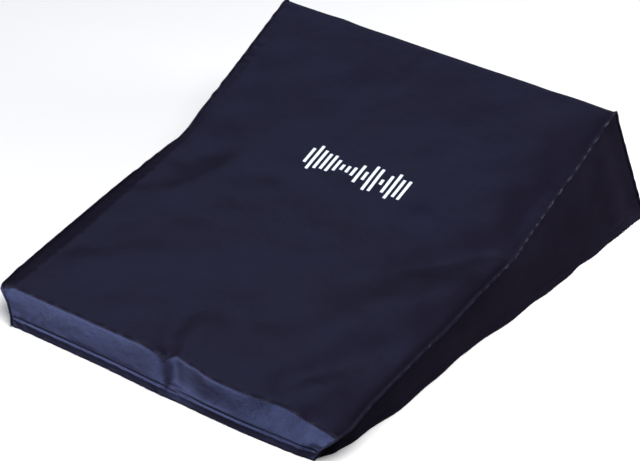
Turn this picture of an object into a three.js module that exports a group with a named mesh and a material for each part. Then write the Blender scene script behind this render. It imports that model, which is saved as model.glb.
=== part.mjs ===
// A fitted dust cover for an audio mixer: coated cloth cut as one long main panel (front wall, top and
// back wall) and two side panels, sewn together along the two profiles, with a turned hem all round.
// It is drawn as it hangs on the desk it covers, open underneath. Millimetres: +X to the right, -Y to
// the front, +Z up, with the origin under the middle of the cover at the level of its hem.
import * as THREE from "three";

// Cloth and seams
const CLOTH = 1; // thickness of the coated cloth
const SEAM_GAP = 0.55; // space between the two cloths of a seam
const SEAM_WELT = 3; // how far the two cloths of a seam stand out, side by side
const HEM_DOUBLED = 1.2; // extra thickness inside, where the hem is turned up
const HEM_HEIGHT = 14; // height of the row of stitches that holds the hem
const HEM_EDGE = 2; // height over which the turned-up edge ends above that row
const HEM_INSET = 8; // the doubling ends this far from a seam
const HEM_FOOT = 0.75; // height of the cloth's middle layer at the hem's lower edge

// The profile, from the front hem over the top to the back hem. y and z place the panel, left and right
// are the distances of its two seams from the middle, soft is how far the bend's rounding reaches along
// the cloth, and arc and run are the steps drawn in the rounding and from there to the next line.
const HEM = { soft: 0, arc: 0, run: 1 };
const PROFILE = [
  { name: "front hem", y: -313, z: HEM_FOOT, left: 222, right: 221, ...HEM },
  { name: "front stitches", y: -314.5, z: HEM_HEIGHT, left: 228, right: 228, ...HEM },
  { name: "front turned edge", y: -313.5, z: HEM_HEIGHT + HEM_EDGE, left: 229, right: 229, ...HEM, run: 2 },
  { name: "front fold", y: -299, z: 44, left: 243, right: 245, soft: 9, arc: 4, run: 11 },
  { name: "middle bend", y: 37.5, z: 81, left: 247, right: 247.5, soft: 42, arc: 6, run: 7 },
  { name: "back fold", y: 261.5, z: 174.5, left: 249, right: 248.5, soft: 8, arc: 4, run: 2 },
  { name: "back turned edge", y: 315, z: HEM_HEIGHT + HEM_EDGE, left: 257.5, right: 257.5, ...HEM },
  { name: "back stitches", y: 315.5, z: HEM_HEIGHT, left: 258, right: 258, ...HEM },
  { name: "back hem", y: 312, z: HEM_FOOT, left: 258, right: 258, ...HEM },
];
const FRONT_FOLD = 3; // place of the front fold in the table
const BACK_FOLD = 5; // place of the back fold in the table
const PANEL_STEPS = 22; // steps across the main panel
const SEAM_CROWDING = 0.6; // 0 spaces those steps evenly, 1 packs them towards the seams

// How far a side's hem stands out from the straight line between its two corners, by its share of
// the way from the front corner to the back corner.
const HEM_SWAY = {
  left: [
    { at: 0, out: 0 },
    { at: 0.12, out: 9 },
    { at: 0.34, out: 7 },
    { at: 0.55, out: 10 },
    { at: 0.78, out: 4 },
    { at: 1, out: 0 },
  ],
  right: [
    { at: 0, out: 0 },
    { at: 0.08, out: 10 },
    { at: 0.2, out: 14 },
    { at: 0.45, out: 8 },
    { at: 0.6, out: 10 },
    { at: 0.64, out: 6 },
    { at: 0.7, out: 7.5 },
    { at: 0.77, out: 2.5 },
    { at: 0.82, out: 4 },
    { at: 1, out: 0 },
  ],
};

// Ridges and hollows. Each runs from one point to another and moves the cloth near it by push; width is
// the distance at which the move has died down to about a third, at the start and, if given, at the end.
const FOLDS = [
  { name: "front wall pinch", from: [8, -314, 6], to: [8, -300, 42], width: 9, push: [0, 5, -1] },
  { name: "front fold pinch", from: [8, -300, 44], to: [-2, -248, 49], width: 9, push: [0, 2, -5] },
  { name: "right corner droop", from: [252, -299, 42], to: [244, -299, 42], width: 14, push: [0, 2, -8.5] },
  { name: "left corner droop", from: [-243, -299, 44], to: [-240, -299, 44], width: 10, push: [0, 0, -3] },
  { name: "left edge roll", from: [-250, -250, 49], to: [-250, -70, 67], width: 11, push: [-5, 0, -7] },
  { name: "upper fan", from: [210, 40, 83], to: [104, -84, 66], width: 12, endWidth: 22, push: [0, 0, 4] },
  { name: "fan hollow", from: [214, 8, 78], to: [128, -106, 63], width: 12, endWidth: 20, push: [0, 0, -5] },
  { name: "lower fan", from: [220, -66, 68], to: [168, -138, 59], width: 12, endWidth: 20, push: [0, 0, 3] },
  { name: "right bend hollow", from: [206, 142, 124], to: [217, 78, 97], width: 17, push: [0, 2, -6] },
  { name: "right seam hollow", from: [180, -202, 54], to: [196, -176, 57], width: 24, push: [0, 0, -4] },
  { name: "front right hollow", from: [152, -262, 47], to: [170, -236, 50], width: 18, push: [0, 0, -3.5] },
  { name: "right corner crease", from: [172, -250, 48], to: [236, -252, 48], width: 5, push: [0, 0, 1.2] },
  { name: "long left ridge", from: [-192, -224, 51], to: [-44, -103, 64], width: 26, push: [0, 0, 2.5] },
  { name: "left bend ridge", from: [-178, -54, 70], to: [-146, 42, 83], width: 13, push: [0, 0, 2.5] },
  { name: "left bend hollow", from: [-205, 0, 76], to: [-190, 60, 90], width: 16, push: [0, 0, -3] },
  { name: "low top hollow", from: [-20, -150, 60], to: [60, -170, 56], width: 60, push: [0, 0, -4] },
  { name: "high top sag", from: [-60, 160, 132], to: [70, 170, 136], width: 70, push: [0, 1, -4] },
  { name: "short back hollow", from: [-34, 205, 151], to: [-20, 246, 168], width: 11, push: [0, 0, -2] },
  { name: "front hem bow", from: [-70, -314, 6], to: [50, -314, 6], width: 90, push: [0, -2.5, 0] },
  { name: "back wall bow", from: [-90, 288, 80], to: [80, 288, 90], width: 60, push: [0, 6, 2] },
  { name: "back hem bow", from: [-120, 314, 6], to: [-20, 314, 6], width: 60, push: [0, 1, 0] },
  { name: "back wall ridge", from: [-160, 268, 158], to: [-174, 300, 56], width: 16, push: [0, 4, 0] },
  { name: "back wall hollow", from: [150, 270, 150], to: [118, 308, 30], width: 22, push: [0, -6, 0] },
  { name: "right side hollow", from: [250, -60, 34], to: [250, 10, 46], width: 26, push: [-7, 0, 0] },
  { name: "right bend ridge", from: [248, 44, 78], to: [252, 66, 6], width: 12, push: [4, 0, 0] },
  { name: "right back ridge", from: [249, 192, 106], to: [254, 164, 10], width: 13, push: [5, 0, 0] },
  { name: "right back hollow", from: [250, 232, 90], to: [252, 240, 30], width: 20, push: [-4, 0, 0] },
  { name: "left side hollow", from: [-250, -40, 34], to: [-250, 40, 46], width: 30, push: [6, 0, 0] },
  { name: "left back ridge", from: [-249, 150, 96], to: [-254, 120, 10], width: 14, push: [-4, 0, 0] },
];

const COLOURS = { main: 0x25263a, side: 0x1c1d29 };

const point = (x, y, z) => new THREE.Vector3(x, y, z);

// Moves a point by every fold that reaches it.
function fold(p) {
  const moved = p.clone();
  for (const row of FOLDS) {
    const from = point(...row.from);
    const line = new THREE.Line3(from, point(...row.to));
    const share = line.closestPointToPointParameter(p, true);
    const width = THREE.MathUtils.lerp(row.width, row.endWidth ?? row.width, share);
    const away = p.distanceTo(line.at(share, point(0, 0, 0))) / width;
    moved.addScaledVector(point(...row.push), Math.exp(-away * away));
  }
  return moved;
}

// A seam's line on one side (-1 left, 1 right), as rows from the front hem to the back hem. fold is the
// place in the table of the rounding whose middle the row is, or null.
function seamRows(side) {
  const corners = PROFILE.map((r) => point(side * (side < 0 ? r.left : r.right), r.y, r.z));
  const towards = (a, b, reach) => {
    const [from, to] = [corners[a], corners[b]];
    return from.clone().lerp(to, reach / from.distanceTo(to));
  };
  const rows = [];
  PROFILE.forEach((bend, k) => {
    if (bend.soft) {
      const [start, end] = [towards(k, k - 1, bend.soft), towards(k, k + 1, bend.soft)];
      new THREE.QuadraticBezierCurve3(start, corners[k], end).getPoints(bend.arc).forEach((at, step) => {
        rows.push({ at, fold: step === bend.arc / 2 ? k : null });
      });
    } else {
      rows.push({ at: corners[k].clone(), fold: null });
    }
    if (k + 1 === PROFILE.length) return;
    const last = rows[rows.length - 1].at;
    const next = PROFILE[k + 1].soft ? towards(k + 1, k, PROFILE[k + 1].soft) : corners[k + 1];
    for (let step = 1; step < bend.run; step += 1) {
      rows.push({ at: last.clone().lerp(next, step / bend.run), fold: null });
    }
  });
  return rows;
}

// Each row's two directions: out along the seam's welt, and from the side panel over to the main panel.
function addSeamDirections(rows, side) {
  rows.forEach((row, k) => {
    const before = rows[Math.max(k - 1, 0)].at;
    const after = rows[Math.min(k + 1, rows.length - 1)].at;
    const up = point(0, -(after.z - before.z), after.y - before.y).normalize();
    const sideways = point(side, 0, 0);
    row.welt = up.clone().add(sideways).normalize();
    row.across = up.clone().sub(sideways).normalize();
  });
  return rows;
}

const HALF_SEAM = (CLOTH + SEAM_GAP) / 2; // from the middle of a seam to the middle of each cloth

// A point of one cloth of a seam: over is 1 for the main panel's and -1 for the side panel's, and out is
// how far along the welt it lies.
function seamPoint(row, over, out) {
  return row.at.clone().addScaledVector(row.across, over * HALF_SEAM).addScaledVector(row.welt, out);
}

// A closed sheet from the points of its middle layer, its faces (seen from outside) and the thickness
// added inside at each point.
function thicken(points, faces, doubling) {
  const normals = points.map(() => point(0, 0, 0));
  for (const [a, b, c] of faces) {
    const edge = points[b].clone().sub(points[a]);
    const turn = edge.cross(points[c].clone().sub(points[a]));
    for (const k of [a, b, c]) normals[k].add(turn);
  }
  normals.forEach((n) => n.normalize());
  const outer = points.map((p, k) => p.clone().addScaledVector(normals[k], CLOTH / 2));
  const inner = points.map((p, k) => p.clone().addScaledVector(normals[k], -CLOTH / 2 - doubling[k]));
  const edges = new Map();
  for (const face of faces) {
    face.forEach((a, k) => edges.set(`${a} ${face[(k + 1) % 3]}`, [a, face[(k + 1) % 3]]));
  }
  const count = points.length;
  const index = [];
  for (const [a, b, c] of faces) {
    index.push(a, b, c);
    index.push(count + a, count + c, count + b);
  }
  for (const [a, b] of edges.values()) {
    if (edges.has(`${b} ${a}`)) continue;
    index.push(a, count + a, b);
    index.push(b, count + a, count + b);
  }
  const geometry = new THREE.BufferGeometry().setFromPoints([...outer, ...inner]).setIndex(index);
  geometry.computeVertexNormals();
  return geometry;
}

// Two faces for each cell of a grid of point numbers, turned over where flip is true.
function gridFaces(grid, flip) {
  const faces = [];
  for (let i = 0; i + 1 < grid.length; i += 1) {
    for (let j = 0; j + 1 < grid[i].length; j += 1) {
      const [a, b, c, d] = [grid[i][j], grid[i][j + 1], grid[i + 1][j + 1], grid[i + 1][j]];
      faces.push(...(flip ? [[a, c, b], [a, d, c]] : [[a, b, c], [a, c, d]]));
    }
  }
  return faces;
}

// The thickness that the hem adds inside at a point, which dies away towards the nearest seam.
function hemDoubling(p, toSeam) {
  if (p.z > HEM_HEIGHT + HEM_EDGE / 2) return 0;
  return HEM_DOUBLED * THREE.MathUtils.smoothstep(toSeam, 0, HEM_INSET);
}

function meshOf(name, geometry, color) {
  const material = new THREE.MeshStandardMaterial({ color, roughness: 0.5, metalness: 0 });
  const mesh = new THREE.Mesh(geometry, material);
  mesh.name = name;
  return mesh;
}

const leftRows = addSeamDirections(seamRows(-1), -1);
const rightRows = addSeamDirections(seamRows(1), 1);

// Front wall, top and back wall in one cloth, with both its edges turned out into the seams.
function mainPanel() {
  const points = [];
  const doubling = [];
  const grid = leftRows.map((left, k) => {
    const right = rightRows[k];
    const [start, end] = [seamPoint(left, 1, 0), seamPoint(right, 1, 0)];
    const line = [seamPoint(left, 1, SEAM_WELT)];
    for (let step = 0; step <= PANEL_STEPS; step += 1) {
      const even = (2 * step) / PANEL_STEPS - 1;
      const crowded = Math.sin((even * Math.PI) / 2);
      const across = THREE.MathUtils.lerp(even, crowded, SEAM_CROWDING);
      line.push(start.clone().lerp(end, (across + 1) / 2));
    }
    line.push(seamPoint(right, 1, SEAM_WELT));
    return line.map((p) => {
      points.push(fold(p));
      doubling.push(hemDoubling(p, Math.min(p.x - start.x, end.x - p.x)));
      return points.length - 1;
    });
  });
  return thicken(points, gridFaces(grid, false), doubling);
}

// The hem's stand-out at a share of the way along a side, between the rows of its table.
function hemSway(table, share) {
  const k = Math.max(1, table.findIndex((row) => row.at >= share));
  const [low, high] = [table[k - 1], table[k]];
  const part = (share - low.at) / (high.at - low.at);
  return THREE.MathUtils.lerp(low.out, high.out, THREE.MathUtils.smoothstep(part, 0, 1));
}

// One side panel: a patch between its hem, the two upright seams and the long seam, with its three sewn
// edges turned out into the seams.
function sidePanel(rows, side, swayTable) {
  const frontCorner = rows.findIndex((row) => row.fold === FRONT_FOLD);
  const backCorner = rows.findIndex((row) => row.fold === BACK_FOLD);
  const upright = frontCorner; // steps from the hem up to a corner, the same at the front and the back
  const frontEdge = rows.slice(0, frontCorner + 1);
  const backEdge = rows.slice(backCorner).reverse();
  const longEdge = rows.slice(frontCorner, backCorner + 1);
  const shares = (edge) => {
    const run = [0];
    for (let k = 1; k < edge.length; k += 1) run.push(run[k - 1] + edge[k].at.distanceTo(edge[k - 1].at));
    return run.map((length) => length / run[run.length - 1]);
  };
  const [frontShare, backShare, longShare] = [shares(frontEdge), shares(backEdge), shares(longEdge)];
  const place = (row) => seamPoint(row, -1, 0);
  const [frontFoot, backFoot] = [place(frontEdge[0]), place(backEdge[0])];
  const offStraight = (edge, share, j) =>
    place(edge[j]).sub(place(edge[0]).lerp(place(edge[upright]), share[j]));

  const points = [];
  const doubling = [];
  const grid = longEdge.map((row, i) => {
    const along = longShare[i];
    const top = place(row);
    const foot = frontFoot.clone().lerp(backFoot, along);
    foot.x += side * hemSway(swayTable, along);
    const hemShares = [0, HEM_HEIGHT, HEM_HEIGHT + HEM_EDGE].map((z) => z / top.z);
    return frontEdge.map((frontRow, j) => {
      let p = foot.clone();
      if (i === 0) {
        p = place(frontRow);
      } else if (i === longEdge.length - 1) {
        p = place(backEdge[j]);
      } else {
        const share = THREE.MathUtils.lerp(frontShare[j], backShare[j], along);
        p.lerp(top, hemShares[j] ?? share);
        p.addScaledVector(offStraight(frontEdge, frontShare, j), 1 - along);
        p.addScaledVector(offStraight(backEdge, backShare, j), along);
      }
      const toSeam = Math.min(p.y - frontFoot.y, backFoot.y - p.y);
      points.push(fold(p));
      doubling.push(hemDoubling(p, toSeam));
      return points.length - 1;
    });
  });

  const front = grid[0];
  const back = grid[grid.length - 1];
  const sewn = [...front, ...grid.slice(1, -1).map((column) => column[upright]), ...back.slice().reverse()];
  const tips = rows.map((row) => {
    points.push(fold(seamPoint(row, -1, SEAM_WELT)));
    doubling.push(0);
    return points.length - 1;
  });
  const flip = side < 0;
  const faces = [...gridFaces(grid, !flip), ...gridFaces([tips, sewn], !flip)];
  return thicken(points, faces, doubling);
}

const cover = new THREE.Group();
cover.add(meshOf("main_panel", mainPanel(), COLOURS.main));
cover.add(meshOf("side_panel_left", sidePanel(leftRows, -1, HEM_SWAY.left), COLOURS.side));
cover.add(meshOf("side_panel_right", sidePanel(rightRows, 1, HEM_SWAY.right), COLOURS.side));

export default cover;
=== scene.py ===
import math

import bmesh
import bpy
import numpy as np
from mathutils import Matrix, Vector


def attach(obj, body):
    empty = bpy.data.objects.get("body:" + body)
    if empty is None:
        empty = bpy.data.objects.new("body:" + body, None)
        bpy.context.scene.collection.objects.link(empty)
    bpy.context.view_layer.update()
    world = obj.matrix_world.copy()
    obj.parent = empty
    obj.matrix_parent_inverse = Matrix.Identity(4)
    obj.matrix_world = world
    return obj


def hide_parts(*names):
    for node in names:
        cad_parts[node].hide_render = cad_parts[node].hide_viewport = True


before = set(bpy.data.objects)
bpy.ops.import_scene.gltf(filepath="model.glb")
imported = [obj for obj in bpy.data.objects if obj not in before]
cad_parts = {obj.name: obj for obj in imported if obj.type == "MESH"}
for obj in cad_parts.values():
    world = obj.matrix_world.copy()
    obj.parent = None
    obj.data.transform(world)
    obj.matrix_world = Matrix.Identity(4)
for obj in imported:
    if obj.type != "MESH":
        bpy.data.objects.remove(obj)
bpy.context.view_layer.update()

bl_info = {
    "name": "Audio Mixer Cover",
    "version": (1, 0, 0),
    "blender": (4, 5, 0),
    "location": "View3D > Sidebar > Cover",
    "description": "Builds a fitted dust cover of coated cloth for an audio mixer",
    "category": "Add Mesh",
}

MM = 0.001  # the tables and the shaping are in millimetres, the finished meshes in metres


def table(columns, *rows):
    """A table's rows, with each value under its column's name."""
    return [dict(zip(columns.split(), row)) for row in rows]


# The profile, from the front hem over the top to the back hem. y and z place the panel, left and right
# are the distances of its two seams from the middle, and soft is how far the bend's rounding reaches.
HEM_FOOT = 1.6  # height at which a hem's turn begins
HEM_HEIGHT = 12.5  # height of a hem's stitches
PROFILE = table(
    "name y z left right soft",
    ("front hem", -316.2, HEM_FOOT, 219.4, 221.9, 0),
    ("front stitches", -313.4, HEM_HEIGHT, 221.6, 228, 0),
    ("front fold", -300, 45.2, 242, 245, 4),
    ("middle bend", 37.5, 81, 247, 247, 20),
    ("upper sag", 150, 124.3, 249, 243.2, 60),
    ("back fold", 261.5, 174.5, 249, 246.3, 6),
    ("back stitches", 315.5, HEM_HEIGHT, 258, 260, 0),
    ("back hem", 312.2, HEM_FOOT, 258.6, 261, 0),
)

# How far a side's hem stands out from the straight line between its corners, by the share of the way
# from the front corner to the back corner.
HEM_SWAY = {
    "left": {"at": [0, 0.12, 0.34, 0.55, 0.78, 1], "out": [0, 9, 7, 10, 4, 0]},
    "right": {
        "at": [0, 0.05, 0.09, 0.13, 0.21, 0.31, 0.42, 0.47, 0.56, 0.62, 0.67, 0.72, 0.78, 0.83, 0.89, 1],
        "out": [0, 10, 13, 12, 16, 11, 6.5, 5.5, 8.4, 4.7, 6.7, 5.4, 2.6, 3.6, 1, 0],
    },
}

# How the top rolls down over a side's edge: at places along it, how far in from the seam the roll
# starts, and how far it drops the seam and moves it out. A low power starts the roll abruptly, and
# ragged makes its start uneven.
ROLLS = {
    "left": {
        "y": [-300, -272, -200, -60, 40, 90, 150, 210, 250],
        "reach": [12, 15, 17, 13, 8, 12, 14, 12, 8],
        "drop": [5, 9.4, 11, 8.4, 2.6, 2, 2.5, 1.5, 0],
        "out": [2.5, 9.4, 12, 10.4, 1.4, -0.4, 0.6, 0.8, 0],
        "power": 1,
        "ragged": 0.12,
    },
    "right": {
        "y": [-300, -285, -268, -245, -200, -140, -90, -40, 10, 38, 80, 170, 225, 250],
        "reach": [40, 50, 60, 60, 60, 56, 52, 46, 42, 50, 64, 68, 60, 46],
        "drop": [4.5, 9, 10.2, 9.4, 7.4, 5.8, 6.4, 4.2, 3.4, 3.4, 5, 5.4, 4.2, 1.2],
        "out": [3, 6, 5.2, 2.4, 2, 1.8, 2.2, 1.4, -0.6, -3, -3.9, -2.6, -1.2, -0.4],
        "power": 1.8,
        "ragged": 0,
    },
}

# Ridges and hollows. Each runs from one point to another and moves the cloth near it by push. The
# widths, at its start and its end, are the distances at which the move has died down to a third.
FOLDS = table(
    "name start end widths push",
    ("front wall pinch", (22, -313, 25), (16, -302, 42), (11, 11), (0, 4.2, 0)),
    ("front wall dent", (40, -313, 31), (35, -303, 42), (24, 28), (0, 4, -0.8)),
    ("front wall forward", (-20, -303, 50), (48, -303, 50), (32, 32), (0, -2.2, 1.6)),
    ("front wall set back", (166, -304, 44), (200, -304, 44), (26, 24), (0, 2.8, -1.8)),
    ("left wall swell", (-222, -306, 34), (-76, -304, 34), (18, 18), (0, -1, 0)),
    ("front fold sag", (78, -302, 49), (108, -302, 49), (22, 26), (0, -2.6, -0.6)),
    ("front fold notch", (7, -301, 45), (6, -290, 46), (8, 10), (0, -1, -5.6)),
    ("front fold pinch", (-4, -294, 45), (-20, -238, 53), (12, 22), (0, 0.3, -2.6)),
    ("front fold lip", (14, -288, 46), (6, -238, 53), (12, 22), (0, 0, 2)),
    ("right corner droop", (252, -299, 42), (214, -299, 43), (16, 24), (0, -1.6, -6)),
    ("right corner hem", (224, -315, 0), (224, -315, 6), (15, 15), (0, 3.4, 0)),
    ("right back corner", (150, 262, 173), (240, 262, 173), (40, 30), (0, 0, 1.8)),
    ("right back edge", (247, 268, 156), (257, 313, 14), (14, 16), (-2.6, 0, 0)),
    ("right edge hollow", (248, 248, 150), (256, 292, 22), (12, 15), (-4.8, 0, 0)),
    ("right back swell", (249, 232, 130), (254, 256, 36), (13, 16), (1.4, 0, 0)),
    ("left bend droop", (-247, 40, 82), (-247, 54, 88), (20, 20), (1, 0, -1.6)),
    ("fan at the seam", (242, 46, 83), (216, 44, 83), (9, 13), (0, 0, -1.6)),
    ("fan hollow", (203, 35, 81), (101, -86, 67), (20, 36), (0, 0, -5.8)),
    ("lower fan", (228, -32, 74), (158, -136, 62), (22, 36), (0, 0, 3.2)),
    ("right slope ridge", (192, 206, 150), (226, 216, 155), (28, 28), (0, 0, 3)),
    ("right slope trough", (228, 190, 143), (236, 90, 100), (24, 20), (0, 0, -2.6)),
    ("right bend hollow", (206, 112, 111), (238, 58, 90), (26, 24), (0, 1, -2.6)),
    ("right seam hollow", (184, -206, 54), (204, -172, 57), (25, 25), (0, 0, -4.6)),
    ("front right hollow", (150, -264, 47), (168, -238, 50), (21, 21), (0, 0, -4.4)),
    ("right corner crease", (172, -250, 48), (236, -252, 48), (3.5, 3.5), (0, 0, 0.9)),
    ("long left ridge", (-192, -224, 51), (-44, -103, 64), (26, 26), (0, 0, 2.5)),
    ("left bend ridge", (-178, -54, 70), (-146, 42, 83), (16, 16), (0, 0, 2)),
    ("left bend hollow", (-205, 0, 76), (-188, 60, 90), (21, 21), (0, 0, -3.2)),
    ("low top hollow", (-20, -150, 60), (60, -170, 56), (60, 60), (0, 0, -4)),
    ("high top sag", (-60, 160, 132), (70, 170, 136), (70, 70), (0, 1, -4)),
    ("short back hollow", (-34, 205, 151), (-20, 246, 168), (12, 12), (0, 0, -0.9)),
    ("front hem bow", (25, -315, 6), (125, -315, 6), (64, 64), (0, -3.4, 0)),
    ("front wall swell", (80, -303, 36), (126, -303, 36), (22, 22), (0, -1.2, 0)),
    ("back wall bow", (-90, 288, 80), (80, 288, 90), (60, 60), (0, 6, 2)),
    ("back hem bow", (-120, 314, 6), (-20, 314, 6), (60, 60), (0, 1, 0)),
    ("back wall ridge", (-160, 268, 158), (-174, 300, 56), (16, 16), (0, 4, 0)),
    ("back wall hollow", (150, 270, 150), (118, 308, 30), (22, 22), (0, -6, 0)),
    ("right side hollow", (250, -60, 34), (250, 10, 46), (28, 28), (-4, 0, 0)),
    ("right bend ridge", (248, 44, 78), (252, 66, 6), (19, 16), (1.4, 0, 0)),
    ("right back ridge", (249, 196, 120), (254, 160, 10), (22, 17), (1.8, 0, 0)),
    ("right back hollow", (250, 216, 110), (254, 178, 10), (14, 16), (-1.8, 0, 0)),
    ("left side hollow", (-250, -40, 34), (-250, 40, 46), (30, 30), (6, 0, 0)),
    ("left back ridge", (-249, 150, 96), (-254, 120, 10), (14, 14), (-4, 0, 0)),
)

# The meshes, in millimetres
HEM_STEP = 1.25  # up a hem
FOLD_STEP = 1.5  # over a fold
CLOTH_STEP = 3.2  # along the rest of the profile
FOLD_ZONE = 12  # how far from a fold its finer spacing reaches
COLUMNS = 140  # steps across the main panel
SIDE_COLUMNS = 250  # steps along a side panel
SIDE_ROWS = 50  # steps up a side panel above its hem
# Where those steps are packed, as a share of the way across, how far that reaches and how densely
COLUMN_PACKING = table("at reach more", (0, 0.07, 3), (1, 0.07, 3), (0.53, 0.035, 2.6))
SIDE_PACKING = table("at reach more", (0, 0.04, 1), (1, 0.04, 1))
PACKING_STEPS = 2000  # steps in which the packing is summed up
ARC_STEPS = 24  # steps in a bend's rounding
TURN_STEPS = 6  # steps round the turn at a hem's lower edge
MERGED = 0.02  # points that are nearer to each other than this become one
FLOOR_GAP = 0.05  # least space between the cloth and the floor
FLOOR_HOLD = 30  # height below which the floor begins to hold the cloth up

# The hems, in millimetres
HEM_ZONE = 17  # height up to which they are doubled
# How far a part of a hem stands out, how far below the stitches it is, and its reach up and down
HEM_RELIEF = table("name out below reach", ("groove", -0.8, 0, 1.2), ("ridge", 0.36, 2.6, 2.2))
HEM_TUCK = 0.35  # how far the lower edge turns under
TUCK_BELOW = 3  # how far below the stitches that starts
HEM_RIPPLE = 0.3  # height of the ripples below the stitches
RIPPLE_SLANT = 0.9  # how far those shift along the hem for each millimetre up
RIPPLE_FADE = 4  # distance from the stitches over which those set in
STITCH_RIPPLE = 0.15  # height of the ripples that the stitches draw
STITCH_REACH = 8  # how far those reach up and down
HEM_END = 4  # distance from a hem's ends over which all this sets in
SIDE_HEM = 0.15  # how strong it is on the side panels, whose hems show less
SIDE_HEM_END = 6  # distance from the long seam over which it sets in there
HEM_CALM = 0.35  # how strong puckers and unevenness are in a hem
HEM_TURN = 0.95  # radius of the turn at the lower edge
HEM_LAYERS = 1.2  # from the middle of one layer to the next, at the stitches
HEM_CLOSED = 0.625  # share of the way up at which the layers are that near
HEM_INSET = 3  # how far short of the seams the inner layer ends

# The seams, in millimetres and degrees
SEAM_SPAN = 1.5  # half the stretch that a seam's direction is taken over
SEAM_FREED = 12  # distance over which a seam comes free of its hem
SEAM_WAVER = 0.25  # how far the seam's line wavers
WAVER_SHARES = (0.4, 0.6)  # how much of that is short and long waves
WELT_LEAN = 45  # how far a welt leans over from upright
LEAN_WAVER = 2.5  # how far that wavers
WELT_WAVER = 0.04  # share by which its height wavers
WELT_PARTS = (0.5, 1.0)  # places of the mesh's lines along a welt, from its root
SEAM_STITCHES = 0.4  # place of the stitches along a welt
LEFT_EAR = {"more": 4.8, "lean": 35, "before": 9, "reach": 7}  # the longer welt before the front fold
PUCKER = 0.55  # height of the puckers beside a seam
PUCKER_PITCH = 11  # their spacing, more or less
PUCKER_REACH = 8  # how far into the panel they run
PUCKER_SHARES = (0.75, 0.25)  # how much of them is short and fine waves
PUCKER_STRENGTH = (0.55, 0.45)  # the mean and the swing of their strength along a seam
SEWN_FLAT = 2.5  # distance from a seam over which the cloth is held flat
SEAM_DIP = 2.5  # how far the top dips beside the right seam
LEFT_DIP = 0.2  # share of that beside the left seam
HIGH_DIP = 0.6  # share by which both dip less above the middle bend
DIP_REACH = 2.3  # how far from the seam the dip is deepest
DIP_END = 6  # distance from the folds over which it sets in
BEND_CHANGE = 20  # distance over which the seams change at the middle bend
DIP_CHANGE = 10  # how far before the bend the dip starts to change
GLINT_CHANGE = 25  # how far before the bend the welts' painted highlights start to change

# How far the coating is lightened, from 0 to 1: worn at the folds, painted highlight on the welts
GLINT_ALONG_WELT = 0.05  # painted highlight all along a welt, growing towards its cut edge
GLINT_SPOTS = 0.26  # how much more painted highlight in spots, as glints along a welt
FEWER_GLINTS_LOW = 0.18  # by how much less painted highlight in spots below the middle bend
RUBBED_FOLD = 0.1  # in spots along the folds
RUBBED_REACH = {"front fold": 2.5, "back fold": 3}  # and how far to either side, in millimetres
SPOTS = {"welt": 0.3, "fold": 0.4, "swing": 0.8}  # the means and the swing of the waves that make spots

# The unevenness of the panels, in millimetres
UNEVEN = (0.6, 0.3)  # height of its broad and its narrow waves
UNEVEN_END = 25  # distance from a seam over which it sets in
FOLD_CALM = 0.75  # share of it that a fold pulls out
FOLD_CALM_REACH = 28  # and how far from the fold

# The waves that make all this uneven: each kind's seed and its wavelength in millimetres. For a side's
# seams the seed is one lower on the left and one higher on the right.
WAVES = {
    "short pucker": (11, PUCKER_PITCH),
    "long pucker": (21, 3 * PUCKER_PITCH),
    "sideways waver": (31, 2 * PUCKER_PITCH),
    "welt height": (41, 25),
    "welt spots": (51, 17),
    "fine pucker": (61, PUCKER_PITCH / 2),
    "pucker strength": (71, 120),
    "broad unevenness": (81, 95),
    "narrow unevenness": (82, 42),
    "hem ripple": (91, 17),
    "stitch ripple": (92, 15),
    "fold spots": (95, 25),
    "roll start": (97, 12),
}
WAVE_COUNT = 9  # sine waves in each
WAVE_STRETCH = (0.7, 1.6)  # shortest and longest of them, as shares of the wavelength

# The stitches
STITCH_SHARE = 0.76  # share of its pitch that a stitch covers
STITCH_SPAN = 0.5  # half the stretch that its direction is taken over, in millimetres

# Sizes of the materials' patterns, in millimetres
PATTERNS = {"crumple": 24, "patch": 90, "grit": 3, "thread fuzz": 0.6, "stipple": 5}

# The printed bars, in millimetres on the flat cut: the middle of their row, the pitch and width of a
# bar, how many there are, half the height of the lowest and what chance adds to that.
PRINT = {"x": -2, "y": 423.5, "pitch": 8.4, "width": 4.2, "bars": 18, "low": 4, "more": 18}

# The stage, in metres. glossy says whether the cloth's gloss shows the light.
LIGHTS = table(
    "name place target size colour glossy",
    ("key", (-1.25, -2.1, 0.54), (0, -0.3, 0.05), (1.6, 0.9), (1, 1, 1), True),
    ("gloss", (-1.45, 0.95, 2.45), (0, 0, 0.1), (1.5, 1.5), (0.74, 0.82, 1), True),
    ("side", (1.05, 0.8, 0.26), (0.26, 0.34, 0.08), (0.8, 0.4), (1, 1, 1), False),
    ("top", (1.2, -0.6, 3.1), (0, 0, 0), (2.2, 2.2), (1, 1, 1), False),
)
SKY_COLOUR = (0.9, 0.95, 1, 1)
FLOOR_SIZE = 12  # half of the floor's width
SENSOR_WIDTH = 36  # of the camera, in millimetres
# The camera's place, and the directions to its right, up and ahead, from fitting the photograph
CAMERA_PLACE = (1.6258, -2.1191, 1.7932)
CAMERA_AXES = ((0.7994, 0.6006, -0.0168), (-0.3171, 0.4453, 0.8373), (-0.5104, 0.6640, -0.5464))


def linear(hex_colour):
    """An sRGB hex colour, such as "1f2030", as linear red, green, blue and an alpha of 1."""
    channels = [int(hex_colour[k:k + 2], 16) / 255 for k in (0, 2, 4)]
    return tuple(c / 12.92 if c <= 0.04045 else ((c + 0.055) / 1.055) ** 2.4 for c in channels) + (1.0,)


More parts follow.
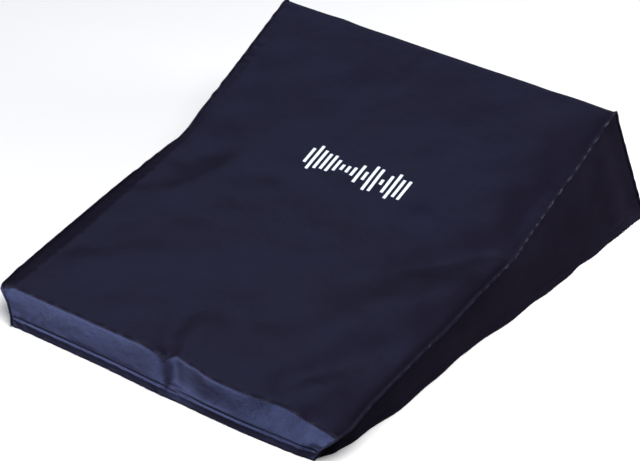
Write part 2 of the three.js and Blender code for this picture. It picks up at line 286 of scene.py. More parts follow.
class CoverSettings(bpy.types.PropertyGroup):
    """Sizes and colours of the cover, its stitching and its print."""

    cloth: bpy.props.FloatProperty(
        name="Cloth thickness", description="Thickness of the coated cloth", default=1.0 * MM, unit="LENGTH")
    seam_gap: bpy.props.FloatProperty(
        name="Seam gap", description="Space between a seam's two cloths", default=0.4 * MM, unit="LENGTH")
    welt: bpy.props.FloatProperty(
        name="Seam welt", description="How far a seam's cloths stand out", default=3.1 * MM, unit="LENGTH")
    stitch_pitch: bpy.props.FloatProperty(
        name="Stitch pitch", description="Length of a stitch and its gap", default=3.4 * MM, unit="LENGTH")
    thread: bpy.props.FloatProperty(
        name="Thread diameter", description="Diameter of the thread", default=0.55 * MM, unit="LENGTH")
    weave_pitch: bpy.props.FloatProperty(
        name="Weave pitch", description="Thread spacing of the drawn weave", default=1.6 * MM, unit="LENGTH")
    cloth_colour: bpy.props.FloatVectorProperty(
        name="Cloth colour", description="Colour of the coated cloth",
        subtype="COLOR", size=4, min=0, max=1, default=linear("17141f"))
    # Colour of the coating worn at the folds, and of the painted highlights on the welts' edges
    rubbed_and_glint_colour: bpy.props.FloatVectorProperty(
        name="Rubbed colour", description="Colour of the coating where it is rubbed",
        subtype="COLOR", size=4, min=0, max=1, default=linear("888ba4"))
    thread_colour: bpy.props.FloatVectorProperty(
        name="Thread colour", description="Colour of the sewing thread",
        subtype="COLOR", size=4, min=0, max=1, default=linear("121118"))
    ink_colour: bpy.props.FloatVectorProperty(
        name="Ink colour", description="Colour of the printed bars",
        subtype="COLOR", size=4, min=0, max=1, default=linear("dfe6f2"))


class StageSettings(bpy.types.PropertyGroup):
    """The floor, the lights and the camera."""

    floor_colour: bpy.props.FloatVectorProperty(
        name="Floor colour", description="Colour of the plain floor",
        subtype="COLOR", size=4, min=0, max=1, default=linear("efeff0"))
    key_power: bpy.props.FloatProperty(
        name="Key light", description="Power of the soft light at the front left", default=57, unit="POWER")
    top_power: bpy.props.FloatProperty(
        name="Top light", description="Power of the large light overhead", default=135, unit="POWER")
    side_power: bpy.props.FloatProperty(
        name="Side light", description="Power of the low light at the back right", default=18, unit="POWER")
    gloss_power: bpy.props.FloatProperty(
        name="Gloss light", description="Power of the light in the cloth's gloss", default=9, unit="POWER")
    sky_strength: bpy.props.FloatProperty(
        name="Studio light", description="Strength of the even light all round", default=0.015)
    lens: bpy.props.FloatProperty(
        name="Lens", description="Focal length of the camera", default=148.7 * MM, unit="LENGTH")


def rise(value):
    """0 below 0, 1 above 1, and a smooth way up between them."""
    value = np.clip(value, 0, 1)
    return value * value * (3 - 2 * value)


def peak(distance, reach):
    """1 at distance 0, a third at the reach, and next to nothing at twice the reach."""
    return np.exp(-((distance / reach) ** 2))


def waves(points, kind, side=0):
    """Smooth unevenness of that kind at numbers or points, mostly from -1 to 1."""
    points = np.asarray(points, float)
    if points.shape[-1] != 3:
        points = points[..., None]
    seed, length = WAVES[kind]
    draw = np.random.default_rng(seed + side)
    total = np.zeros(points.shape[:-1])
    for _ in range(WAVE_COUNT):
        direction = draw.normal(size=points.shape[-1])
        direction /= np.linalg.norm(direction)
        stretch = length * draw.uniform(*WAVE_STRETCH)
        total += np.sin(points @ direction * (2 * math.pi / stretch) + draw.uniform(0, 2 * math.pi))
    return total / math.sqrt(WAVE_COUNT)


def folded(points):
    """The points, moved by the rolls over both edges and by every ridge and hollow near them. Near
    the floor, which holds the cloth up, nothing moves it down."""
    push = rolled(points, -1, ROLLS["left"]) + rolled(points, 1, ROLLS["right"])
    for fold in FOLDS:
        start = np.array(fold["start"], float)
        line = np.array(fold["end"], float) - start
        share = np.clip((points - start) @ line / (line @ line), 0, 1)[..., None]
        away = np.linalg.norm(points - start - share * line, axis=-1, keepdims=True)
        width = fold["widths"][0] + share * (fold["widths"][1] - fold["widths"][0])
        push += peak(away, width) * np.array(fold["push"], float)
    push[..., 2] *= np.where(push[..., 2] < 0, rise(points[..., 2] / FLOOR_HOLD), 1)
    return points + push


def rolled(points, side, roll):
    """How far the roll over a side's edge moves the points."""
    top = slice(TOP_START, TOP_END)
    y = np.clip(points[..., 1], OUTLINE[TOP_START, 0], roll["y"][-1])
    z, out = (np.interp(y, OUTLINE[top, 0], OUTLINE[top, k]) for k in (1, 2 if side < 0 else 3))
    away = np.linalg.norm(points - np.stack([side * out, y, z], -1), axis=-1)
    reach, drop, out = (np.interp(y, roll["y"], roll[key]) for key in ("reach", "drop", "out"))
    reach = reach * (1 + roll["ragged"] * waves(y, "roll start"))
    share = np.clip(1 - away / reach, 0, 1) ** roll["power"]
    return share[..., None] * np.stack([side * out, np.zeros_like(y), -drop], -1)


def rounded_profile():
    """The profile with its bends rounded: distances along the cloth, the table's numbers there, and
    how far along each row of the table is, and the numbers of the points at the two folds."""
    rows = np.array([[row["y"], row["z"], row["left"], row["right"]] for row in PROFILE], float)
    points = []
    middle = {}
    for k, row in enumerate(PROFILE):
        arc = [rows[k]]
        if row["soft"]:
            ends = []
            for other in (rows[k - 1], rows[k + 1]):
                away = other - rows[k]
                ends.append(rows[k] + away * row["soft"] / np.hypot(away[0], away[1]))
            arc = [(1 - t) ** 2 * ends[0] + 2 * t * (1 - t) * rows[k] + t * t * ends[1]
                   for t in np.linspace(0, 1, ARC_STEPS + 1)]
        middle[row["name"]] = len(points) + len(arc) // 2
        points += arc
    points = np.array(points)
    run = np.concatenate([[0], np.cumsum(np.hypot(np.diff(points[:, 0]), np.diff(points[:, 1])))])
    station = {name: run[k] for name, k in middle.items()}
    return run, points, station, middle["front fold"], middle["back fold"]


RUN, OUTLINE, STATION, TOP_START, TOP_END = rounded_profile()


def run_at_height(height, back):
    """How far along the profile its front or back wall reaches a height, given as numbers."""
    wall = slice(-1, -4, -1) if back else slice(0, 3)
    return np.interp(height, OUTLINE[wall, 1], RUN[wall])


def above_bend(run, before):
    """0 on the low part of the profile and 1 on the high one. The change starts before the middle
    bend by the distance given."""
    return rise((run - STATION["middle bend"] + before) / BEND_CHANGE)


class Seam:
    """A side's seam at some distances along the profile. Each attribute has one row for each of them."""

    def __init__(self, side, run, settings):
        self.plain = self.outline(side, run)
        along = self.outline(side, run + SEAM_SPAN) - self.outline(side, run - SEAM_SPAN)
        up = np.stack([np.zeros(len(along)), -along[:, 2], along[:, 1]], 1)
        up /= np.linalg.norm(up, axis=1, keepdims=True)
        sideways = np.array([side, 0, 0], float)
        short, long = waves(run, "short pucker", side), waves(run, "long pucker", side)
        held = HEM_HEIGHT / 2  # the hems hold the seam's first and last stretch straight
        loose = rise((run - held) / SEAM_FREED) * rise((RUN[-1] - held - run) / SEAM_FREED)
        waver = SEAM_WAVER * loose
        mixed = WAVER_SHARES[0] * short + WAVER_SHARES[1] * long
        self.place = self.plain + (waver * mixed)[:, None] * up
        self.place = self.place + (waver * waves(run, "sideways waver", side))[:, None] * sideways
        ear = (side < 0) * peak(run - STATION["front fold"] + LEFT_EAR["before"], LEFT_EAR["reach"])
        lean = WELT_LEAN + LEAN_WAVER * loose * (short + long) + LEFT_EAR["lean"] * ear
        lean = np.radians(lean)[:, None]
        self.welt = np.cos(lean) * up + np.sin(lean) * sideways
        self.across = np.sin(lean) * up - np.cos(lean) * sideways
        self.half = (settings.cloth + settings.seam_gap) / 2 / MM
        self.length = settings.welt / MM * (1 + WELT_WAVER * waves(run, "welt height", side))
        self.length = self.length + LEFT_EAR["more"] * ear
        # Painted highlight on the welt: lighter in spots, less of it below the middle bend
        low = 1 - above_bend(run, GLINT_CHANGE)
        spots = rise(SPOTS["welt"] + SPOTS["swing"] * waves(run, "welt spots", side))
        self.rubbed = GLINT_ALONG_WELT + (GLINT_SPOTS - FEWER_GLINTS_LOW * low) * spots

    @staticmethod
    def outline(side, run):
        y, z, left, right = (np.interp(run, RUN, OUTLINE[:, k]) for k in range(4))
        return np.stack([-left if side < 0 else right, y, z], 1)

    def cloth_at(self, over, part):
        """A line along one cloth's welt, from its root at part 0 to its cut edge at 1. over is 1 for
        the main panel's cloth and -1 for the side panel's."""
        return self.place + over * self.half * self.across + (part * self.length)[:, None] * self.welt

    def pull(self, over):
        """How far the root of one cloth's welt lies from the seam's plain line."""
        return self.cloth_at(over, 0) - self.plain

    def welt_block(self, over, root_flat, out_flat, parts):
        """The welt of one cloth as columns of a grid, beside the column at its root."""
        # the painted highlight grows from the welt's root to its cut edge
        return block(
            np.stack([folded(self.cloth_at(over, part)) for part in parts], 1),
            np.stack([root_flat + part * np.array(out_flat, float) for part in parts], 1),
            np.stack([self.rubbed * part for part in parts], 1))


def block(places, flat, rubbed=0.0):
    """Part of a grid of cloth: its points, their places on the flat cut, how far its coating is lightened
    there, by wear at the folds and as painted highlight on the welts, and whether they are kept in the mesh."""
    shape = places.shape[:2]
    return {
        "places": places,
        "flat": np.broadcast_to(flat, shape + (2,)),
        "rubbed": np.broadcast_to(rubbed, shape),
        "kept": np.full(shape, True),
    }


def joined(blocks, axis):
    """Blocks of a grid put side by side, along its rows (axis 0) or its columns (axis 1)."""
    return {key: np.concatenate([part[key] for part in blocks], axis) for key in blocks[0]}


def turned(grid, axis):
    """The grid with its rows (axis 0) or its columns (axis 1) in the other order."""
    return {key: np.flip(values, axis) for key, values in grid.items()}


def with_margins(grid):
    """The grid with as many columns more at both ends as a welt has, which aren't kept."""
    columns = len(WELT_PARTS)
    wide = {}
    for key, values in grid.items():
        margin = ((0, 0), (columns, columns)) + ((0, 0),) * (values.ndim - 2)
        wide[key] = np.pad(values, margin, mode="edge")
    wide["kept"][:, :columns] = False
    wide["kept"][:, -columns:] = False
    return wide


def between_welts(first, grid, last, over, welt):
    """The grid between one cloth's welts of the seams at its first and its last column."""
    return joined([
        first.welt_block(over, grid["flat"][:, 0], (-welt, 0), WELT_PARTS[::-1]),
        grid,
        last.welt_block(over, grid["flat"][:, -1], (welt, 0), WELT_PARTS),
    ], 1)


def puckers(side, run, away):
    """The puckers beside a seam, at distances along it and away from it."""
    short, fine = waves(run, "short pucker", side), waves(run, "fine pucker", side)
    crests = PUCKER_SHARES[0] * short + PUCKER_SHARES[1] * fine
    strength = PUCKER_STRENGTH[0] + PUCKER_STRENGTH[1] * waves(run, "pucker strength", side)
    return PUCKER * strength * crests * rise(away / SEWN_FLAT) * np.exp(-away / PUCKER_REACH)


def dip(away, run):
    """How deep the top dips beside a seam, at distances from it and along it."""
    depth = SEAM_DIP * (1 - HIGH_DIP * above_bend(run, DIP_CHANGE))
    return depth * away / DIP_REACH * np.exp(1 - away / DIP_REACH)


def undulation(points, away):
    """Low unevenness all over a panel, calm beside its seams."""
    low = UNEVEN[0] * waves(points, "broad unevenness") + UNEVEN[1] * waves(points, "narrow unevenness")
    return low * rise(away / UNEVEN_END)


def hem_shape(height, along, away):
    """How far a hem stands out from its wall, at heights and at distances along it and from its ends."""
    below = HEM_HEIGHT - height
    relief = sum(part["out"] * peak(below - part["below"], part["reach"]) for part in HEM_RELIEF)
    tuck = -HEM_TUCK * np.clip(1 - height / (HEM_HEIGHT - TUCK_BELOW), 0, 1)
    ripples = HEM_RIPPLE * rise(below / RIPPLE_FADE) * waves(along + RIPPLE_SLANT * height, "hem ripple")
    ripples = ripples + STITCH_RIPPLE * peak(below, STITCH_REACH) * waves(along, "stitch ripple")
    return (relief + tuck + ripples) * rise(away / HEM_END) * (height < 2 * HEM_HEIGHT)


def normals_of(places):
    """Unit normals of a grid of points, towards the side that sees its columns, then its rows, turn
    against the clock."""
    normals = np.cross(np.gradient(places, axis=1), np.gradient(places, axis=0))
    return normals / np.linalg.norm(normals, axis=2, keepdims=True)


def turned_up(outer, normals, flat):
    """A hem's inner layer and the turn at its lower edge, from its raw edge down and round to the wall.
    outer, normals and flat are the wall's rows from the hem's lower edge up."""
    level = np.linspace(0, 1, len(outer))
    gap = 2 * HEM_TURN + (HEM_LAYERS - 2 * HEM_TURN) * rise(level / HEM_CLOSED)
    inner = outer - normals * gap[:, None, None]
    middle = inner.mean(axis=1, keepdims=True)
    reach = np.linalg.norm(inner - middle, axis=2).max()
    inner += (middle - inner) * HEM_INSET / reach
    centre = (outer[0] + inner[0]) / 2
    turn = [centre + (outer[0] - centre) * math.cos(angle) - [0, 0, HEM_TURN * math.sin(angle)]
            for angle in np.linspace(math.pi, 0, TURN_STEPS + 1)[1:-1]]
    places = np.concatenate([inner[::-1], turn])
    below = flat[0] - (flat[1] - flat[0]) * np.arange(len(places), 0, -1)[:, None, None]
    return block(places, below)


def near(away):
    """How much of a seam's pull the cloth takes up at distances from it."""
    return peak(away, PUCKER_REACH)[..., None]


def from_edges(places):
    """Distances of a side panel's points from its front, back and top edges."""
    return [np.linalg.norm(places - edge, axis=2) for edge in (places[:, :1], places[:, -1:], places[-1:])]


def steps_between(start, end, spacing):
    """Distances from start up to, but without, end."""
    count = max(1, round((end - start) / spacing))
    return start + (end - start) * np.arange(count) / count


def packed(count, packing):
    """Shares from 0 to 1 in that many steps, packed as the table says."""
    even = np.linspace(0, 1, PACKING_STEPS + 1)
    dense = 1 + sum(row["more"] * peak(even - row["at"], row["reach"]) for row in packing)
    total = np.concatenate([[0], np.cumsum(dense[1:] + dense[:-1])])
    return np.interp(np.linspace(0, total[-1], count + 1), total, even)


def main_panel(settings):
    """Front wall, top and back wall as one cloth: its grid, its two seams, and the rows of its hems'
    stitches with their normals."""
    front, back = STATION["front fold"], STATION["back fold"]
    stops = [
        (0, HEM_STEP), (STATION["front stitches"], HEM_STEP), (run_at_height(HEM_ZONE, False), CLOTH_STEP),
        (front - FOLD_ZONE, FOLD_STEP), (front + FOLD_ZONE, CLOTH_STEP), (back - FOLD_ZONE, FOLD_STEP),
        (back + FOLD_ZONE, CLOTH_STEP), (run_at_height(HEM_ZONE, True), HEM_STEP),
        (STATION["back stitches"], HEM_STEP), (RUN[-1], 0),
    ]
    run = np.concatenate([steps_between(at, end, step) for (at, step), (end, _) in zip(stops, stops[1:])])
    run = np.append(run, RUN[-1])
    left, right = Seam(-1, run, settings), Seam(1, run, settings)
    share = packed(COLUMNS, COLUMN_PACKING)[None, :, None]
    start, end = left.plain[:, None], right.plain[:, None]
    width = (end - start)[..., 0]
    to_left, to_right = share[..., 0] * width, (1 - share[..., 0]) * width
    base = start * (1 - share) + end * share
    base = base + left.pull(1)[:, None] * near(to_left) + right.pull(1)[:, None] * near(to_right)
    away = np.minimum(to_left, to_right)
    along = np.broadcast_to(run[:, None], away.shape)

    wall = (along < front) | (along > back)
    in_hem = wall & (base[..., 2] < HEM_ZONE)
    from_fold = np.minimum(np.abs(along - front), np.abs(along - back))
    calm = 1 - FOLD_CALM * peak(from_fold, FOLD_CALM_REACH)
    out = puckers(-1, along, to_left) + puckers(1, along, to_right) + calm * undulation(base, away)
    out = out * np.where(in_hem, HEM_CALM, 1) + wall * hem_shape(base[..., 2], base[..., 0], away)
    dips = dip(to_right, along) + LEFT_DIP * dip(to_left, along)
    out = out - ~wall * rise((along - front) / DIP_END) * rise((back - along) / DIP_END) * dips
    places = folded(base)
    places = places + normals_of(places) * out[..., None]
    normals = normals_of(places)

    flat = np.stack([base[..., 0], along], 2)
    patchy = RUBBED_FOLD * rise(SPOTS["fold"] + SPOTS["swing"] * waves(base[..., 0], "fold spots"))
    rubbed = patchy * sum(peak(along - STATION[name], reach) for name, reach in RUBBED_REACH.items())
    grid = between_welts(left, block(places, flat, rubbed), right, 1, settings.welt / MM)

    doubled = int(np.sum(run < run_at_height(HEM_ZONE, False)))
    front_hem = turned_up(places[:doubled], normals[:doubled], flat[:doubled])
    last = slice(-1, -doubled - 1, -1)
    back_hem = turned_up(places[last], normals[last], flat[last])
    grid = joined([with_margins(front_hem), grid, with_margins(turned(back_hem, 0))], 0)
    lines = []
    for name in ("front stitches", "back stitches"):
        row = int(np.argmin(np.abs(run - STATION[name])))
        lines.append((places[row], normals[row]))
    return grid, (left, right), lines


def side_panel(side, settings):
    """One side panel, between its hem, its two upright seams and the long seam above: its grid and the
    row of its hem's stitches with its normals. Rows run up and columns from the front to the back."""
    levels = np.concatenate([
        steps_between(HEM_FOOT, HEM_HEIGHT, HEM_STEP), steps_between(HEM_HEIGHT, HEM_ZONE, HEM_STEP)])
    doubled = len(levels)
    uprights = []
    for name, is_back in (("front fold", False), ("back fold", True)):
        above = np.linspace(run_at_height(HEM_ZONE, is_back), STATION[name], SIDE_ROWS + 1)
        uprights.append(np.concatenate([run_at_height(levels, is_back), above]))
    front_run, back_run = uprights
    along = packed(SIDE_COLUMNS, SIDE_PACKING)
    top_run = front_run[-1] + along * (back_run[-1] - front_run[-1])
    front, back, top = (Seam(side, run, settings) for run in (front_run, back_run, top_run))
    front_line, back_line, top_line = (seam.plain for seam in (front, back, top))

    sway = HEM_SWAY["left" if side < 0 else "right"]
    foot = front_line[0] + (back_line[0] - front_line[0]) * along[:, None]
    between = np.interp(along, sway["at"], np.arange(len(sway["at"])))
    before = np.minimum(between.astype(int), len(sway["at"]) - 2)
    out = np.array(sway["out"], float)
    foot[:, 0] += side * (out[before] + (out[before + 1] - out[before]) * rise(between - before))

    shares = []
    bows = []
    for line, run in ((front_line, front_run), (back_line, back_run)):
        shares.append((run - run[0]) / (run[-1] - run[0]))
        bows.append(line - line[0] - (line[-1] - line[0]) * shares[-1][:, None])
    share = shares[0][:, None] * (1 - along) + shares[1][:, None] * along
    bow = bows[0][:, None] * (1 - along[:, None]) + bows[1][:, None] * along[:, None]
    tall = (top_line - foot)[:, 2]
    heights = np.append(levels, HEM_ZONE)[:, None]
    above = (share[doubled:] - share[doubled]) / (1 - share[doubled])
    share[:doubled + 1] = (heights - foot[:, 2] - bow[:doubled + 1, :, 2]) / tall
    share[doubled:] = share[doubled] + (1 - share[doubled]) * above
    base = foot + share[..., None] * (top_line - foot) + bow
    by_front, by_back, by_top = (near(away) for away in from_edges(base))
    base = base + by_front * front.pull(-1)[:, None] + by_back * back.pull(-1)[:, None]
    base = base + by_top * (1 - by_front) * (1 - by_back) * top.pull(-1)

    to_front, to_back, to_top = from_edges(base)
    ends = np.minimum(to_front, to_back)
    away = np.minimum(ends, to_top)
    seams = ((front_run[:, None], to_front), (back_run[:, None], to_back), (top_run, to_top))
    bumps = sum(puckers(side, np.broadcast_to(run, away.shape), distance) for run, distance in seams)
    bumps = bumps * rise(away / SEWN_FLAT) + undulation(base, away)
    bumps = bumps * np.where(base[..., 2] < HEM_ZONE, HEM_CALM, 1)
    bumps = bumps + SIDE_HEM * hem_shape(base[..., 2], base[..., 1], ends) * rise(to_top / SIDE_HEM_END)
    places = folded(base)
    places = places + side * normals_of(places) * bumps[..., None]
    normals = side * normals_of(places)

    flat, welt = base[..., 1:], settings.welt / MM
    grid = between_welts(front, block(places, flat), back, -1, welt)
    hem = turned_up(places[:doubled], normals[:doubled], flat[:doubled])
    long_welt = top.welt_block(-1, flat[-1], (0, welt), WELT_PARTS)
    long_welt = {key: np.swapaxes(values, 0, 1) for key, values in long_welt.items()}
    grid = joined([with_margins(hem), grid, with_margins(long_welt)], 0)
    row = int(np.argmin(np.abs(levels - HEM_HEIGHT)))
    return (turned(grid, 1) if side < 0 else grid), (places[row], normals[row])


def finished(name, bm, material):
    """The bmesh as a smooth-shaded object of that name and material, riding on the cover."""
    mesh = bpy.data.meshes.new(name)
    bm.to_mesh(mesh)
    bm.free()
    mesh.shade_smooth()
    mesh.materials.append(material)
    made = bpy.data.objects.new(name, mesh)
    bpy.context.scene.collection.objects.link(made)
    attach(made, "root")
    return made


def cloth_sheet(name, grid, material, settings):
    """A sheet of cloth over a grid of points in millimetres, with its thickness."""
    rows, columns = grid["kept"].shape
    floor = settings.cloth / 2 + FLOOR_GAP * MM
    bm = bmesh.new()
    bmesh.ops.create_grid(bm, x_segments=columns - 1, y_segments=rows - 1, size=1)
    bm.verts.index_update()
    # the layer holds wear at the folds and painted highlight on the welts
    wear_and_glint = bm.verts.layers.float.new("rubbed")
    cut = bm.loops.layers.uv.new("cut")
    for vert, place, worn_and_glinting in zip(bm.verts, grid["places"].reshape(-1, 3), grid["rubbed"].ravel()):
        vert.co = place * MM
        vert.co.z = max(vert.co.z, floor)
        vert[wear_and_glint] = worn_and_glinting
    flat = grid["flat"].reshape(-1, 2) * MM
    for face in bm.faces:
        for loop in face.loops:
            loop[cut].uv = flat[loop.vert.index]
    dropped = [vert for vert, keep in zip(bm.verts, grid["kept"].ravel()) if not keep]
    bmesh.ops.delete(bm, geom=dropped, context="VERTS")
    bmesh.ops.remove_doubles(bm, verts=bm.verts, dist=MERGED * MM)
    sheet = finished(name, bm, material)
    solidify = sheet.modifiers.new("Cloth thickness", "SOLIDIFY")
    solidify.thickness = settings.cloth
    solidify.offset = 0
    return sheet


def sewn(name, lines, material, settings):
    """Short rounded stitches, end to end, as one piece. lines gives the middle of the cloth below each
    row of them, as points in millimetres, and its normals. A quarter of the thread is sunk in the
    cloth's face."""
    thread, pitch = settings.thread / MM, settings.stitch_pitch / MM
    to_metres = Matrix.Diagonal((MM, MM, MM, 1))
    size = Matrix.Diagonal((STITCH_SHARE * pitch / 2, thread / 2, thread / 2, 1))
    bm = bmesh.new()
    for line, normals in lines:
        line = line + (settings.cloth / 2 + settings.thread / 4) / MM * normals
        run = np.concatenate([[0], np.cumsum(np.linalg.norm(np.diff(line, axis=0), axis=1))])
        for middle in np.arange(pitch, run[-1] - pitch / 2, pitch):
            ahead, behind = middle + STITCH_SPAN, middle - STITCH_SPAN
            place, front, back, up = (
                Vector([np.interp(at, run, values[:, k]) for k in range(3)])
                for at, values in ((middle, line), (ahead, line), (behind, line), (middle, normals)))
            forward = (front - back).normalized()
            sideways = up.cross(forward).normalized()
            turn = Matrix((forward, sideways, forward.cross(sideways))).transposed().to_4x4()
            matrix = to_metres @ Matrix.Translation(place) @ turn @ size
            bmesh.ops.create_icosphere(bm, subdivisions=1, radius=1, matrix=matrix)
    return finished(name, bm, material)


def add_node(tree, kind, inputs=(), **settings):
    """Adds a node with its settings. inputs gives each named or numbered socket a value or a link."""
    node = tree.nodes.new(kind)
    for key, value in settings.items():
        setattr(node, key, value)
    for key, value in dict(inputs).items():
        if isinstance(value, bpy.types.NodeSocket):
            tree.links.new(value, node.inputs[key])
        else:
            node.inputs[key].default_value = value
    return node


def new_material(name):
    """An empty node material of that name, with its node tree."""
    material = bpy.data.materials.new(name)
    material.use_nodes = True
    material.node_tree.nodes.clear()
    return material, material.node_tree


def coated_cloth(name, settings, printed):
    """Woven polyester with a polyurethane coating. The coating gives the near-black cloth a satin gloss
    with a cool tint, the weave shows through it as a fine grain, and handling leaves it crumpled and
    uneven in gloss. Where it is worn at the folds it goes grey, and the same grey on the seams' welts is
    painted highlight, standing for glints on their edges."""
    material, tree = new_material(name)
    cut = add_node(tree, "ShaderNodeUVMap", uv_map="cut").outputs[0]
    place = add_node(tree, "ShaderNodeTexCoord").outputs["Object"]

    pitch = settings.weave_pitch  # about four times the real thread spacing, which is too fine to show
    bands = 2 * math.pi / 20 / pitch  # a wave texture of scale 1 repeats every 2 pi / 20
    warp = add_node(tree, "ShaderNodeTexWave", {"Vector": cut, "Scale": bands}, bands_direction="X")
    weft = add_node(tree, "ShaderNodeTexWave", {"Vector": cut, "Scale": bands}, bands_direction="Y")
    over = add_node(tree, "ShaderNodeTexChecker", {"Vector": cut, "Scale": 1 / pitch})
    weave = add_node(tree, "ShaderNodeMix", {
        0: over.outputs["Fac"], 2: warp.outputs["Fac"], 3: weft.outputs["Fac"]}).outputs[0]

    crumple = add_node(tree, "ShaderNodeTexNoise", {
        "Vector": place, "Scale": 1 / (PATTERNS["crumple"] * MM), "Detail": 3, "Roughness": 0.55,
    }).outputs["Fac"]
    patches = add_node(tree, "ShaderNodeTexNoise", {
        "Vector": place, "Scale": 1 / (PATTERNS["patch"] * MM), "Detail": 4, "Roughness": 0.6,
    }).outputs["Fac"]
    grit = add_node(tree, "ShaderNodeTexNoise", {
        "Vector": place, "Scale": 1 / (PATTERNS["grit"] * MM), "Detail": 2}).outputs["Fac"]

    shade = add_node(tree, "ShaderNodeMapRange", {
        "Value": patches, "From Min": 0.3, "From Max": 0.7, "To Min": 0.86, "To Max": 1.16}).outputs[0]
    tinted = add_node(tree, "ShaderNodeVectorMath", {
        0: settings.cloth_colour[:3], 3: shade}, operation="SCALE").outputs[0]
    # wear at the folds and painted highlight on the welts, mixed in as one lighter grey, broken up by grit
    rubbed = add_node(tree, "ShaderNodeAttribute", attribute_name="rubbed").outputs["Fac"]
    broken = add_node(tree, "ShaderNodeMapRange", {
        "Value": grit, "From Min": 0.35, "From Max": 0.65, "To Min": 0.1, "To Max": 0.5}).outputs[0]
    wear_and_glint = add_node(tree, "ShaderNodeMath", {0: rubbed, 1: broken}, operation="MULTIPLY").outputs[0]
    colour = add_node(tree, "ShaderNodeMix", {
        0: wear_and_glint, 6: tinted, 7: settings.rubbed_and_glint_colour}, data_type="RGBA").outputs[2]
    gloss = add_node(tree, "ShaderNodeMapRange", {
        "Value": patches, "From Min": 0.3, "From Max": 0.7, "To Min": 0.37, "To Max": 0.46}).outputs[0]
    if printed:
        colour = add_node(tree, "ShaderNodeMix", {
            0: printed_bars(tree, cut), 6: colour, 7: settings.ink_colour}, data_type="RGBA").outputs[2]

    fine = add_node(tree, "ShaderNodeBump", {
        "Height": weave, "Strength": 0.6, "Distance": 0.06 * MM}).outputs[0]
    soft = add_node(tree, "ShaderNodeBump", {
        "Height": crumple, "Strength": 1.0, "Distance": 0.9 * MM, "Normal": fine}).outputs[0]
    shader = add_node(tree, "ShaderNodeBsdfPrincipled", {
        "Base Color": colour, "Roughness": gloss, "IOR": 1.5, "Specular IOR Level": 0.4,
        "Specular Tint": linear("8ea6ff"), "Normal": soft})
    add_node(tree, "ShaderNodeOutputMaterial", {"Surface": shader.outputs[0]})
    return material


def printed_bars(tree, cut):
    """A row of upright bars of uneven heights in pale screen ink, as a mask over the flat cut."""
    centre = (PRINT["x"] * MM, PRINT["y"] * MM, 0)
    spot = add_node(tree, "ShaderNodeVectorMath", {0: cut, 1: centre}, operation="SUBTRACT").outputs[0]
    spot = add_node(tree, "ShaderNodeSeparateXYZ", {0: spot})
    column = add_node(tree, "ShaderNodeMath", {
        0: spot.outputs[0], 1: PRINT["pitch"] * MM}, operation="DIVIDE").outputs[0]
    number = add_node(tree, "ShaderNodeMath", {0: column}, operation="FLOOR").outputs[0]
    off = add_node(tree, "ShaderNodeMath", {0: column, 1: number}, operation="SUBTRACT").outputs[0]
    bar = add_node(tree, "ShaderNodeMath", {
        0: off, 1: 0.5, 2: PRINT["width"] / PRINT["pitch"] / 2}, operation="COMPARE").outputs[0]
    chance = add_node(tree, "ShaderNodeTexWhiteNoise", {"W": number}, noise_dimensions="1D").outputs[0]
    tall = add_node(tree, "ShaderNodeMath", {
        0: chance, 1: PRINT["more"] * MM, 2: PRINT["low"] * MM}, operation="MULTIPLY_ADD").outputs[0]
    high = add_node(tree, "ShaderNodeMath", {
        0: spot.outputs[1], 1: 0.0, 2: tall}, operation="COMPARE").outputs[0]
    row = add_node(tree, "ShaderNodeMath", {
        0: column, 1: 0.0, 2: PRINT["bars"] / 2}, operation="COMPARE").outputs[0]
    mask = add_node(tree, "ShaderNodeMath", {0: bar, 1: high}, operation="MULTIPLY").outputs[0]
    return add_node(tree, "ShaderNodeMath", {0: mask, 1: row}, operation="MULTIPLY").outputs[0]


def spun_thread(settings):
    """Spun polyester sewing thread: matt, rough and a little darker than the cloth."""
    material, tree = new_material("Spun polyester thread")
    place = add_node(tree, "ShaderNodeTexCoord").outputs["Object"]
    fuzz = add_node(tree, "ShaderNodeTexNoise", {
        "Vector": place, "Scale": 1 / (PATTERNS["thread fuzz"] * MM), "Detail": 2}).outputs["Fac"]
    rough = add_node(tree, "ShaderNodeBump", {"Height": fuzz, "Distance": 0.1 * MM}).outputs[0]
    shader = add_node(tree, "ShaderNodeBsdfPrincipled", {
        "Base Color": settings.thread_colour, "Roughness": 0.8, "Specular IOR Level": 0.2, "Normal": rough})
    add_node(tree, "ShaderNodeOutputMaterial", {"Surface": shader.outputs[0]})
    return material


def painted_board(settings):
    """Matt painted board, plain and pale, with a faint unevenness from the roller."""
    material, tree = new_material("Matt painted board")
    place = add_node(tree, "ShaderNodeTexCoord").outputs["Object"]
    stipple = add_node(tree, "ShaderNodeTexNoise", {
        "Vector": place, "Scale": 1 / (PATTERNS["stipple"] * MM)}).outputs["Fac"]
    rough = add_node(tree, "ShaderNodeBump", {
        "Height": stipple, "Strength": 0.2, "Distance": 0.1 * MM}).outputs[0]
    shader = add_node(tree, "ShaderNodeBsdfPrincipled", {
        "Base Color": settings.floor_colour, "Roughness": 0.9, "Specular IOR Level": 0.1, "Normal": rough})
    add_node(tree, "ShaderNodeOutputMaterial", {"Surface": shader.outputs[0]})
    return material


class COVER_OT_main_panel(bpy.types.Operator):
    """Build the main panel, with the stitches of its hems and of both seams"""

    bl_idname = "cover.main_panel"
    bl_label = "Main Panel"

    def execute(self, context):
        settings = context.scene.cover
        grid, seams, hems = main_panel(settings)
        cloth = coated_cloth("Coated polyester, printed", settings, True)
        panel = cloth_sheet("main_cloth", grid, cloth, settings)
        thread = spun_thread(settings)
        stitches = [sewn("main_hem_stitches", hems, thread, settings)]
        welts = [(folded(seam.cloth_at(over, SEAM_STITCHES)), over * seam.across)
                 for seam in seams for over in (-1, 1)]
        stitches.append(sewn("seam_stitches", welts, thread, settings))
        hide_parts("main_panel")
        return {"FINISHED"}


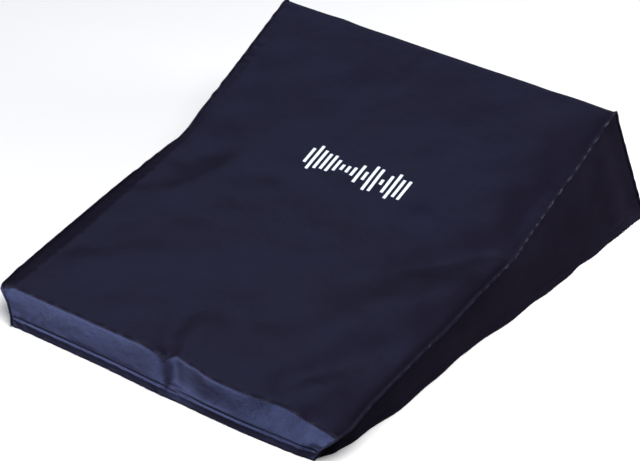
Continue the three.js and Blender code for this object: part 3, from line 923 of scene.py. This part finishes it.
class COVER_OT_side_panels(bpy.types.Operator):
    """Build the two side panels, with the stitches of their hems"""

    bl_idname = "cover.side_panels"
    bl_label = "Side Panels"

    def execute(self, context):
        settings = context.scene.cover
        cloth = coated_cloth("Coated polyester", settings, False)
        thread = spun_thread(settings)
        for side, name in ((-1, "left"), (1, "right")):
            grid, hem = side_panel(side, settings)
            panel = cloth_sheet(f"side_cloth_{name}", grid, cloth, settings)
            stitches = sewn(f"side_hem_stitches_{name}", [hem], thread, settings)
            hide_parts(f"side_panel_{name}")
        return {"FINISHED"}


class COVER_OT_stage(bpy.types.Operator):
    """Lay the floor and set up the lights and the camera"""

    bl_idname = "cover.stage"
    bl_label = "Stage"

    def execute(self, context):
        settings = context.scene.cover_stage
        bm = bmesh.new()
        bmesh.ops.create_grid(bm, x_segments=1, y_segments=1, size=FLOOR_SIZE)
        mesh = bpy.data.meshes.new("floor")
        bm.to_mesh(mesh)
        bm.free()
        mesh.materials.append(painted_board(settings))
        floor = bpy.data.objects.new("floor", mesh)
        context.scene.collection.objects.link(floor)
        floor.visible_glossy = False  # this and the next keep the walls as dark as in a dim room
        floor.visible_diffuse = False

        world = bpy.data.worlds.new("Studio")
        world.use_nodes = True
        sky = world.node_tree.nodes["Background"]
        sky.inputs["Color"].default_value = SKY_COLOUR
        sky.inputs["Strength"].default_value = settings.sky_strength
        context.scene.world = world
        for light in LIGHTS:
            softbox(light, getattr(settings, f"{light['name']}_power"))

        lens = bpy.data.cameras.new("camera")
        lens.sensor_width = SENSOR_WIDTH
        lens.lens = settings.lens / MM
        camera = bpy.data.objects.new("camera", lens)
        right, up, ahead = (Vector(axis) for axis in CAMERA_AXES)
        turn = Matrix((right, up, -ahead)).transposed().to_4x4()
        camera.matrix_world = Matrix.Translation(CAMERA_PLACE) @ turn
        context.scene.collection.objects.link(camera)
        context.scene.camera = camera
        context.scene.view_settings.view_transform = "Standard"
        return {"FINISHED"}


def softbox(row, power):
    """Adds a rectangular soft light, from a row of the table of lights."""
    name = f"{row['name']} light"
    light = bpy.data.lights.new(name, "AREA")
    light.shape = "RECTANGLE"
    light.size, light.size_y = row["size"]
    light.color = row["colour"]
    light.energy = power
    lamp = bpy.data.objects.new(name, light)
    lamp.location = row["place"]
    lamp.rotation_mode = "QUATERNION"
    lamp.rotation_quaternion = (Vector(row["target"]) - Vector(row["place"])).to_track_quat("-Z", "Y")
    lamp.visible_glossy = row["glossy"]
    bpy.context.scene.collection.objects.link(lamp)


class COVER_PT_panel(bpy.types.Panel):
    """Lists the cover's operators and settings"""

    bl_idname = "COVER_PT_panel"
    bl_label = "Audio Mixer Cover"
    bl_space_type = "VIEW_3D"
    bl_region_type = "UI"
    bl_category = "Cover"

    def draw(self, context):
        for operator in OPERATORS:
            self.layout.operator(operator.bl_idname)
        for group in (context.scene.cover, context.scene.cover_stage):
            for name in group.__annotations__:
                self.layout.prop(group, name)


OPERATORS = (COVER_OT_main_panel, COVER_OT_side_panels, COVER_OT_stage)
CLASSES = (CoverSettings, StageSettings, *OPERATORS, COVER_PT_panel)


def register():
    for cls in CLASSES:
        bpy.utils.register_class(cls)
    bpy.types.Scene.cover = bpy.props.PointerProperty(type=CoverSettings)
    bpy.types.Scene.cover_stage = bpy.props.PointerProperty(type=StageSettings)


def unregister():
    del bpy.types.Scene.cover_stage
    del bpy.types.Scene.cover
    for cls in reversed(CLASSES):
        bpy.utils.unregister_class(cls)


def main():
    register()
    bpy.ops.cover.main_panel()
    bpy.ops.cover.side_panels()
    bpy.ops.cover.stage()


if __name__ == "__main__":
    main()
